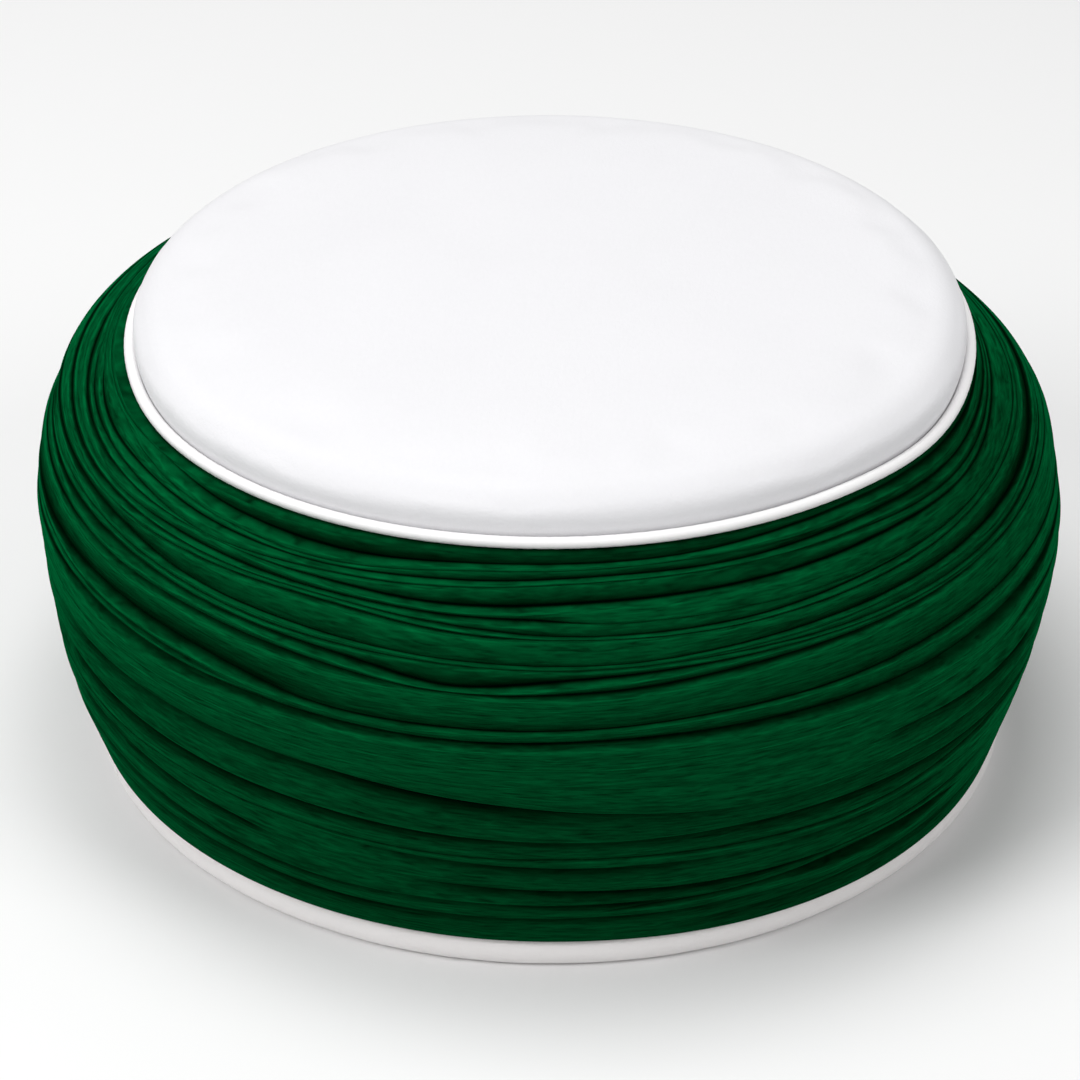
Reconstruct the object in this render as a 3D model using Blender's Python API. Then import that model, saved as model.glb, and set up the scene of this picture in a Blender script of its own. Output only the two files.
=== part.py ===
"""A wound turban cap standing on its rim.

A round white cap with a padded crown, a piped crown edge and a rolled hem carries a dark green
sash wound round its side in overlapping pleats. Lengths are in metres and +Z is up. The origin
is on the floor, under the middle of the hat. Angles run round the hat from the front, which
faces -Y, and grow towards +X.
"""

import math

import bpy
import numpy as np

# Sizes of the hat
HEAD_DIAMETER = 0.1834
WALL_HEIGHT = 0.0804
WALL_THICKNESS = 0.0020
WALL_TURN_IN = 0.00734
CLEARANCE = 0.0003
RIM_THICKNESS = 0.0090
RIM_OFFSET = 0.0012
RIM_PRESSED = 0.00045
CROWN_BAND = 0.0037
CROWN_RISE = 0.0140
CROWN_DOME = 0.0020
CROWN_EDGE_RADIUS = 0.0080
CROWN_TUCK_ANGLE = 27.0
CROWN_CEILING_RISE = 0.0057
PIPING_THICKNESS = 0.0023
PIPING_ANGLE = 21.0
SASH_THICKNESS = 0.0150
SASH_HANG = 0.0012
SASH_UNDER_REACH = 0.0027

# Sizes of the folds
FOLD_STEP = 0.0015
FOLD_CREST = 0.0002
FOLD_TUCK = 0.0004
FOLD_ROUND = 0.0009
FOLD_ROOM = 0.0022
FOLD_LEAST_WIDTH = 0.00034
FOLD_FADE = 8.0
HOLLOW_DEPTH = 0.0010

# Place of the sash's first row, in thousandths of its side profile
SASH_TOP_PLACE = 16.0

# Rings of the crown's dome, as shares of its flat radius, and the ring of its ceiling, as shares
# of the seat's radius and of CROWN_CEILING_RISE
CROWN_RINGS = (0.45, 0.80)
CROWN_CEILING_RING = (0.60, 0.70)

# Largest share of a fold's width that its round upper edge takes
FOLD_ROUND_SHARE = 0.45

# Fineness of the mesh
SEGMENTS = 56
RIM_SIDES = 11
PIPING_SIDES = 8
EDGE_STEPS = 4

# Outside of the cap wall, from its foot up to the crown:
# share of WALL_HEIGHT, and how far it leans in, as a share of WALL_TURN_IN
WALL_PROFILE = (
    (0.000, 0.00),
    (0.350, 0.00),
    (0.700, 0.00),
    (0.840, 0.15),
    (0.935, 0.50),
    (1.000, 1.00),
)

# Side profile of the sash, from the piping down to its lower edge: share of its depth, and how
# thick it lies on the wall at -X and at +X, as shares of SASH_THICKNESS
SASH_PROFILE = (
    (0.000, 0.223, 0.223),
    (0.021, 0.576, 0.189),
    (0.184, 0.893, 0.753),
    (0.347, 1.013, 0.927),
    (0.510, 0.993, 0.993),
    (0.673, 0.907, 0.867),
    (0.837, 0.727, 0.653),
    (1.000, 0.427, 0.360),
)

# Angles, in degrees, at which each fold's place is given; the last is the middle of the back
FOLD_ANGLES = (-80, -60, -40, -25, -10, 5, 20, 40, 60, 80, 180)

# Folds from the top down: name, step as a share of FOLD_STEP, first and last angle in degrees, and
# the place of its upper edge at each of FOLD_ANGLES, in thousandths of the sash's side profile.
# A last angle over 180 goes on past the middle of the back.
FOLDS = (
    ("top", 0.87, -180, 180, (3, 15, 42, 52, 41, 37, 40, 40, 58, 46, 20)),
    ("top_split", 0.47, -100, -12, (12, 32, 58, 67, 48, 44, 47, 60, 78, 60, 32)),
    ("upper", 0.80, -180, 180, (29, 54, 77, 81, 76, 69, 74, 85, 97, 80, 45)),
    ("crossing", 0.60, -180, 180, (40, 72, 100, 93, 84, 76, 80, 101, 119, 94, 58)),
    ("second", 0.80, -180, 180, (54, 91, 104, 116, 130, 125, 128, 130, 135, 107, 74)),
    ("second_left", 0.80, -180, 8, (75, 110, 133, 137, 150, 158, 164, 166, 162, 148, 90)),
    ("third", 0.80, -180, 180, (95, 135, 143, 146, 168, 187, 190, 178, 167, 154, 110)),
    ("fourth", 0.80, -180, 180, (122, 149, 158, 163, 183, 191, 197, 192, 178, 164, 135)),
    ("fifth", 0.93, -180, 180, (157, 187, 218, 230, 242, 245, 238, 228, 219, 199, 165)),
    ("fifth_right", 0.53, 12, 110, (178, 200, 224, 236, 247, 249, 243, 236, 228, 212, 182)),
    ("sixth", 0.60, -180, 180, (200, 213, 232, 244, 251, 253, 250, 258, 249, 221, 195)),
    ("dip", 0.87, -180, 60, (220, 244, 253, 269, 300, 280, 262, 262, 257, 236, 215)),
    ("dip_edge", 0.93, -180, 180, (261, 274, 283, 297, 309, 309, 292, 279, 269, 249, 250)),
    ("middle_pocket", 0.93, -180, 180, (350, 356, 368, 388, 391, 384, 375, 370, 364, 361, 349)),
    ("middle_inner", 0.67, -85, -30, (366, 377, 392, 398, 402, 394, 386, 384, 384, 390, 376)),
    ("middle", 1.33, -180, 180, (403, 415, 423, 424, 425, 421, 424, 437, 437, 425, 412)),
    ("wide_left", 0.33, -95, -32, (466, 472, 474, 475, 476, 476, 476, 478, 482, 496, 470)),
    ("wide_right", 1.00, 56, 110, (488, 492, 496, 497, 497, 497, 497, 499, 494, 500, 498)),
    ("right_hook", 1.07, 33, 190, (514, 514, 515, 516, 518, 526, 540, 554, 571, 556, 522)),
    ("slant", 0.80, -180, 180, (546, 540, 538, 546, 570, 596, 620, 626, 636, 645, 592)),
    ("lower", 1.13, -180, 180, (625, 636, 651, 658, 673, 677, 678, 687, 698, 705, 660)),
    ("lower_edge", 0.60, -180, 180, (697, 707, 709, 715, 726, 724, 732, 742, 720, 724, 713)),
    ("cross_right", 0.73, -26, 56, (706, 713, 716, 726, 738, 754, 757, 766, 762, 765, 745)),
    ("pocket_left", 1.07, 130, 332, (722, 730, 773, 789, 794, 796, 798, 802, 796, 794, 780)),
    ("low_right", 1.07, -18, 64, (785, 793, 803, 808, 812, 826, 842, 843, 825, 822, 808)),
    ("low_left", 0.73, 100, 380, (812, 827, 866, 877, 872, 873, 872, 860, 842, 838, 842)),
    ("low_hollow", 1.20, 4, 56, (880, 884, 888, 894, 896, 893, 880, 890, 868, 862, 876)),
    ("foot", 0.60, 120, 394, (910, 910, 906, 924, 921, 916, 914, 910, 906, 904, 906)),
    ("foot_right", 0.67, 10, 170, (955, 955, 955, 960, 962, 962, 960, 952, 940, 940, 948)),
)

# Broad hollows between the folds: angle and its reach in degrees, place and its reach in
# thousandths of the sash's side profile, and depth as a share of HOLLOW_DEPTH
HOLLOWS = (
    (0.0, 400.0, 18.0, 14.0, 0.6),
    (-52.0, 14.0, 411.0, 9.0, 1.0),
    (-73.0, 6.0, 655.0, 26.0, 1.6),
    (68.0, 9.0, 482.0, 12.0, 1.0),
    (3.0, 7.0, 764.0, 9.0, 0.8),
    (36.0, 9.0, 868.0, 18.0, 1.2),
    (26.0, 20.0, 96.0, 9.0, 0.9),
    (32.0, 16.0, 975.0, 12.0, 0.8),
    (-122.0, 34.0, 70.0, 130.0, 1.9),
)

# Colours of the cloth: red, green and blue in linear light, and roughness
CLOTHS = {
    "crown_cloth": ((0.880, 0.875, 0.905), 0.90),
    "piping_satin": ((0.840, 0.825, 0.825), 0.45),
    "sash_crepe": ((0.004, 0.105, 0.034), 0.75),
    "wall_felt": ((0.800, 0.790, 0.780), 0.95),
    "rim_cloth": ((0.760, 0.730, 0.730), 0.90),
}


def clear_scene():
    """Takes away whatever the scene starts with."""
    for item in list(bpy.data.objects):
        bpy.data.objects.remove(item, do_unlink=True)


def make_cloth(name):
    """Makes the plain cloth of one piece."""
    colour, roughness = CLOTHS[name]
    cloth = bpy.data.materials.new(name)
    cloth.use_nodes = True
    shader = cloth.node_tree.nodes["Principled BSDF"]
    shader.inputs["Base Color"].default_value = (*colour, 1.0)
    shader.inputs["Roughness"].default_value = roughness
    shader.inputs["Metallic"].default_value = 0.0
    cloth.diffuse_color = (*colour, 1.0)
    return cloth


def make_piece(name, vertices, faces, cloth):
    """Makes one named piece from its corners and faces, shaded smooth."""
    mesh = bpy.data.meshes.new(name)
    mesh.from_pydata([tuple(point) for point in vertices], [], faces)
    mesh.polygons.foreach_set("use_smooth", [True] * len(mesh.polygons))
    mesh.materials.append(make_cloth(cloth))
    mesh.update()
    piece = bpy.data.objects.new(name, mesh)
    bpy.context.scene.collection.objects.link(piece)
    return piece


def ring_angles():
    """Gives the angles of the mesh's columns, in radians."""
    return np.arange(SEGMENTS) * math.tau / SEGMENTS


def band_faces(rows, closed):
    """Joins rows of ring points with squares; a closed form joins its last row to its first."""
    faces = []
    for row in range(rows if closed else rows - 1):
        below = ((row + 1) % rows) * SEGMENTS
        for column in range(SEGMENTS):
            beside = (column + 1) % SEGMENTS
            start = row * SEGMENTS
            faces.append((start + column, below + column, below + beside, start + beside))
    return faces


def ring_points(radii, heights):
    """Places rows of points: radii and heights hold one row per ring and one column per angle."""
    angles = ring_angles()
    x = radii * np.sin(angles)
    y = -radii * np.cos(angles)
    z = heights + np.zeros_like(x)
    return np.stack([x, y, z], axis=-1).reshape(-1, 3)


def make_turned(name, profile, cloth):
    """Turns a closed profile of (radius, height) points, listed down its outside, into a ring."""
    outline = np.array(profile)
    radii = np.repeat(outline[:, :1], SEGMENTS, axis=1)
    points = ring_points(radii, outline[:, 1:])
    return make_piece(name, points, band_faces(len(outline), True), cloth)


def make_disc(name, profile, top, bottom, cloth):
    """Turns an open profile into a disc, closed at the axis by a top and a bottom point."""
    outline = np.array(profile)
    radii = np.repeat(outline[:, :1], SEGMENTS, axis=1)
    points = ring_points(radii, outline[:, 1:]).tolist()
    points += [(0.0, 0.0, top), (0.0, 0.0, bottom)]
    faces = band_faces(len(outline), False)
    top_point = len(points) - 2
    bottom_point = len(points) - 1
    last_row = (len(outline) - 1) * SEGMENTS
    for column in range(SEGMENTS):
        beside = (column + 1) % SEGMENTS
        faces.append((top_point, column, beside))
        faces.append((bottom_point, last_row + beside, last_row + column))
    return make_piece(name, points, faces, cloth)


def through(knots, values, places):
    """Runs a smooth curve through values at rising knots and reads it at places."""
    knots = np.asarray(knots, float)
    values = np.asarray(values, float)
    steps = np.diff(knots)
    rises = np.diff(values, axis=-1) / steps
    inner = (rises[..., :-1] * steps[1:] + rises[..., 1:] * steps[:-1]) / (steps[:-1] + steps[1:])
    slopes = np.concatenate([rises[..., :1], inner, rises[..., -1:]], axis=-1)
    place = np.clip(places, knots[0], knots[-1])
    span = np.clip(np.searchsorted(knots, place, side="right") - 1, 0, len(steps) - 1)
    t = (place - knots[span]) / steps[span]
    start = values[..., span]
    end = values[..., span + 1]
    rise = end - start
    lead = slopes[..., span] * steps[span]
    trail = slopes[..., span + 1] * steps[span]
    return start + t * (lead + t * (3.0 * rise - 2.0 * lead - trail + t * (lead + trail - 2.0 * rise)))


def round_ring(rows, angles):
    """Reads rows given at FOLD_ANGLES at any angles, in degrees from -180 to 180."""
    rows = np.asarray(rows, float)
    stations = np.array(FOLD_ANGLES, float)
    knots = np.concatenate([stations[-3:] - 360.0, stations, stations[:3] + 360.0])
    values = np.concatenate([rows[:, -3:], rows, rows[:, :3]], axis=1)
    return through(knots, values, angles)


def wall_levels():
    """Gives the foot and the top of the cap wall."""
    foot = RIM_THICKNESS - RIM_PRESSED + CLEARANCE
    return foot, foot + WALL_HEIGHT


def wall_line(out):
    """Gives the wall's outline, from foot to top, moved outwards from the head by out."""
    foot = wall_levels()[0]
    outline = []
    for share, lean in WALL_PROFILE:
        radius = HEAD_DIAMETER / 2.0 - lean * WALL_TURN_IN + out
        outline.append((radius, foot + share * WALL_HEIGHT))
    return outline


def crown_edge():
    """Gives the middle of the crown's round edge, the radius of its side and its plane."""
    side = wall_line(WALL_THICKNESS + CLEARANCE)[-1][0]
    radius = side - CROWN_EDGE_RADIUS * math.cos(math.radians(CROWN_TUCK_ANGLE))
    plane = wall_levels()[1] + CLEARANCE + CROWN_BAND
    height = plane + CROWN_RISE - CROWN_DOME - CROWN_EDGE_RADIUS
    return radius, height, side, plane


def piping_centre():
    """Gives the middle of the piping, which lies against the crown's round edge."""
    radius, height, _, _ = crown_edge()
    reach = CROWN_EDGE_RADIUS + PIPING_THICKNESS / 2.0 + CLEARANCE
    angle = math.radians(PIPING_ANGLE)
    return radius + reach * math.cos(angle), height - reach * math.sin(angle)


def rim_centre():
    """Gives the middle of the rolled hem, which carries the wall."""
    radius = HEAD_DIAMETER / 2.0 + WALL_THICKNESS + RIM_OFFSET
    return radius, RIM_THICKNESS / 2.0 - RIM_PRESSED


def sash_profile():
    """Gives the sash's side profile: places, heights, and radii at -X and at +X; and its length."""
    foot = wall_levels()[0]
    plane = crown_edge()[3]
    table = np.array(SASH_PROFILE)
    heights = plane - table[:, 0] * (plane - foot + SASH_HANG)
    wall = np.array(wall_line(WALL_THICKNESS + CLEARANCE))
    seats = np.interp(heights, wall[:, 1], wall[:, 0])
    left = seats + table[:, 1] * SASH_THICKNESS
    right = seats + table[:, 2] * SASH_THICKNESS
    runs = np.hypot(np.diff(heights), np.diff((left + right) / 2.0))
    lengths = np.concatenate([[0.0], np.cumsum(runs)])
    return lengths / lengths[-1], heights, left, right, lengths[-1]


def sash_surface(places, angles):
    """Gives radius and height of the smooth sash at shares of its length and angles in radians."""
    knots, heights, left, right, _ = sash_profile()
    at_left = through(knots, left, places)
    at_right = through(knots, right, places)
    lean = (1.0 + np.sin(angles)) / 2.0
    return at_left + (at_right - at_left) * lean, through(knots, heights, places)


def turned_degrees(angles):
    """Gives angles in radians as degrees from -180 to 180."""
    return (np.degrees(angles) + 180.0) % 360.0 - 180.0


def fold_lines(angles):
    """Gives every fold's upper edge and step at each angle, kept in order from the top down."""
    degrees = turned_degrees(angles)
    length = sash_profile()[4]
    order = np.arange(len(FOLDS))[:, None] * FOLD_LEAST_WIDTH / length
    lines = round_ring([fold[4] for fold in FOLDS], degrees) / 1000.0
    lines = np.maximum.accumulate(lines - order, axis=0) + order
    lines = np.maximum(lines, SASH_TOP_PLACE / 1000.0 + FOLD_ROUND / length + order)
    edges = np.concatenate([np.zeros((1, len(angles))), lines, np.ones((1, len(angles)))])
    widths = np.diff(edges, axis=0) * length
    room = np.minimum(1.0, np.minimum(widths[:-1], widths[1:]) / FOLD_ROOM)
    steps = np.array([fold[1] for fold in FOLDS])[:, None] * FOLD_STEP
    first = np.array([fold[2] for fold in FOLDS], float)[:, None]
    last = np.array([fold[3] for fold in FOLDS], float)[:, None]
    shown = np.where(last - first >= 360.0, 1.0, np.zeros_like(lines))
    for turned in (degrees, degrees + 360.0):
        start = np.clip((turned - first) / FOLD_FADE, 0.0, 1.0)
        end = np.clip((last - turned) / FOLD_FADE, 0.0, 1.0)
        shown = np.maximum(shown, start * end)
    return lines, steps * room * shown


def hollow_depth(places, angles):
    """Adds up the broad hollows at shares of the sash's length and angles in radians."""
    degrees = turned_degrees(angles)
    depth = np.zeros(np.broadcast(places, degrees).shape)
    for angle, reach, place, spread, share in HOLLOWS:
        across = np.exp(-(((degrees - angle) / reach) ** 2))
        along = np.exp(-(((places * 1000.0 - place) / spread) ** 2))
        depth = depth + across * along * share * HOLLOW_DEPTH
    return depth


def sash_rows(angles):
    """Gives places and heights of the sash's rows: a crease and a crest for every fold."""
    lines, depths = fold_lines(angles)
    length = sash_profile()[4]
    below = np.concatenate([lines[1:], np.ones((1, len(angles)))])
    crests = lines + np.minimum(FOLD_ROUND / length, FOLD_ROUND_SHARE * (below - lines))
    flat = np.ones(len(angles))
    places = [flat * SASH_TOP_PLACE / 1000.0]
    heights = [flat * -FOLD_TUCK]
    for line, crest, depth in zip(lines, crests, depths):
        places += [line, crest]
        heights += [FOLD_CREST - depth, flat * FOLD_CREST]
    places.append(flat)
    heights.append(flat * -FOLD_TUCK)
    return np.array(places), np.array(heights)


def make_crown_pad():
    """Makes the padded disc: a low dome with a round edge over a shallow ceiling."""
    radius, height, side, plane = crown_edge()
    foot = plane - CROWN_BAND
    top = plane + CROWN_RISE
    outline = [(radius * share, top - CROWN_DOME * share ** 2) for share in CROWN_RINGS]
    turns = np.radians(np.linspace(88.0, -CROWN_TUCK_ANGLE, EDGE_STEPS + 1))
    for turn in turns:
        reach = CROWN_EDGE_RADIUS * math.cos(turn)
        outline.append((radius + reach, height + CROWN_EDGE_RADIUS * math.sin(turn)))
    seat = wall_line(0.0)[-1][0] - CLEARANCE
    outline.append((side, foot))
    outline.append((seat, foot))
    across, up = CROWN_CEILING_RING
    outline.append((seat * across, foot + CROWN_CEILING_RISE * up))
    return make_disc("crown_pad", outline, top, foot + CROWN_CEILING_RISE, "crown_cloth")


def make_roll(name, centre, radius, turns, cloth):
    """Makes a round cord in a ring; turns are the angles of its sides, listed down its outside."""
    reach, height = centre
    outline = [(reach + radius * math.cos(turn), height + radius * math.sin(turn)) for turn in turns]
    return make_turned(name, outline, cloth)


def make_crown_piping():
    """Makes the round cord that lies in the corner between crown and sash."""
    turns = [-math.tau * (side + 0.5) / PIPING_SIDES for side in range(PIPING_SIDES)]
    return make_roll("crown_piping", piping_centre(), PIPING_THICKNESS / 2.0, turns, "piping_satin")


def make_rim_roll():
    """Makes the rolled hem, pressed flat where it stands."""
    centre = rim_centre()
    flat = math.asin(centre[1] / (RIM_THICKNESS / 2.0))
    turns = np.linspace(flat - math.pi, -flat - math.tau, RIM_SIDES)
    return make_roll("rim_roll", centre, RIM_THICKNESS / 2.0, turns, "rim_cloth")


def make_cap_wall():
    """Makes the hollow wall, upright at the head and turned in under the crown."""
    outline = list(reversed(wall_line(WALL_THICKNESS))) + wall_line(0.0)
    return make_turned("cap_wall", outline, "wall_felt")


def make_wound_sash():
    """Makes the thick wound sash: pleated outside, smooth inside against the wall."""
    angles = ring_angles()
    places, heights = sash_rows(angles)
    radii, levels = sash_surface(places, angles)
    radii = radii + heights - hollow_depth(places, angles)
    top = piping_centre()[1] - PIPING_THICKNESS / 2.0 - CLEARANCE
    levels = np.minimum(levels + np.zeros_like(radii), top)
    inside = wall_line(WALL_THICKNESS + CLEARANCE)
    lip = (crown_edge()[2] + 2.0 * CLEARANCE, top)
    under = (rim_centre()[0] + SASH_UNDER_REACH, inside[0][1] + CLEARANCE)
    edges = np.array([under] + inside + [lip])
    edge_radii = np.repeat(edges[:, :1], SEGMENTS, axis=1)
    edge_levels = np.repeat(edges[:, 1:], SEGMENTS, axis=1)
    points = ring_points(
        np.concatenate([radii, edge_radii]),
        np.concatenate([levels, edge_levels]),
    )
    faces = band_faces(len(radii) + len(edges), True)
    return make_piece("wound_sash", points, faces, "sash_crepe")


def build():
    """Builds the hat's five pieces."""
    clear_scene()
    make_crown_pad()
    make_crown_piping()
    make_wound_sash()
    make_cap_wall()
    make_rim_roll()


build()
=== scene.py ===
"""Dresses the wound turban cap: padded crown, piping, wound sash, felt wall, rolled rim and stage.

Angles run round the hat from the front, which faces -Y, and grow towards +X. Lengths are in
metres, and the origin is on the floor under the middle of the hat.
"""

import math
from collections import namedtuple

import bpy
import numpy as np
from mathutils import Matrix, Vector


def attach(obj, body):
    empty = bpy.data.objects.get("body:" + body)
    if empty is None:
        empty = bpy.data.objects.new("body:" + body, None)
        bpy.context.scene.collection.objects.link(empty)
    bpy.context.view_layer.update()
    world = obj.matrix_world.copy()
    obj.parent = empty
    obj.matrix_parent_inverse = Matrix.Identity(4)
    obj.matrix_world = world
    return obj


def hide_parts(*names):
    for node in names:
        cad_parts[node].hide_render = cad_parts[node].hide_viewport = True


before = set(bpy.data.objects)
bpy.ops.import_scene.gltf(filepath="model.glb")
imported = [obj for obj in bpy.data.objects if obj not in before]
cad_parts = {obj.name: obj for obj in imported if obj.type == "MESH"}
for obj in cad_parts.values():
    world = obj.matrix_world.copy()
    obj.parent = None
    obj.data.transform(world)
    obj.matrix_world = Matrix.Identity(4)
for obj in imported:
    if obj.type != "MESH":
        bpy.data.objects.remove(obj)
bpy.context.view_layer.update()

bl_info = {
    "name": "Wound turban cap",
    "version": (1, 0, 0),
    "blender": (4, 5, 0),
    "location": "3D View > Sidebar > Turban Cap",
    "description": "Builds a padded cap with a pleated sash wound round it, and its stage",
    "category": "Add Mesh",
}

# Outside of the cap wall, from its foot up to the crown:
# share of the wall's height, and how far it leans in, as a share of the turn-in
WALL_PROFILE = (
    (0.000, 0.00),
    (0.350, 0.00),
    (0.700, 0.00),
    (0.840, 0.15),
    (0.935, 0.50),
    (1.000, 1.00),
)

# Side profile of the sash, from the piping down to its lower edge: share of its depth, and how
# thick it lies on the wall at -X and at +X, as shares of the sash's thickness
SASH_PROFILE = (
    (0.000, 0.223, 0.223),
    (0.021, 0.576, 0.189),
    (0.184, 0.893, 0.753),
    (0.347, 1.013, 0.927),
    (0.510, 0.993, 0.993),
    (0.673, 0.907, 0.867),
    (0.837, 0.727, 0.653),
    (1.000, 0.427, 0.360),
)

# Angles, in degrees, at which each fold's place is given; the last is the middle of the back
FOLD_ANGLES = (-80, -60, -40, -25, -10, 5, 20, 40, 60, 80, 180)

Fold = namedtuple("Fold", "name step first last edge dark reach")

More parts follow.
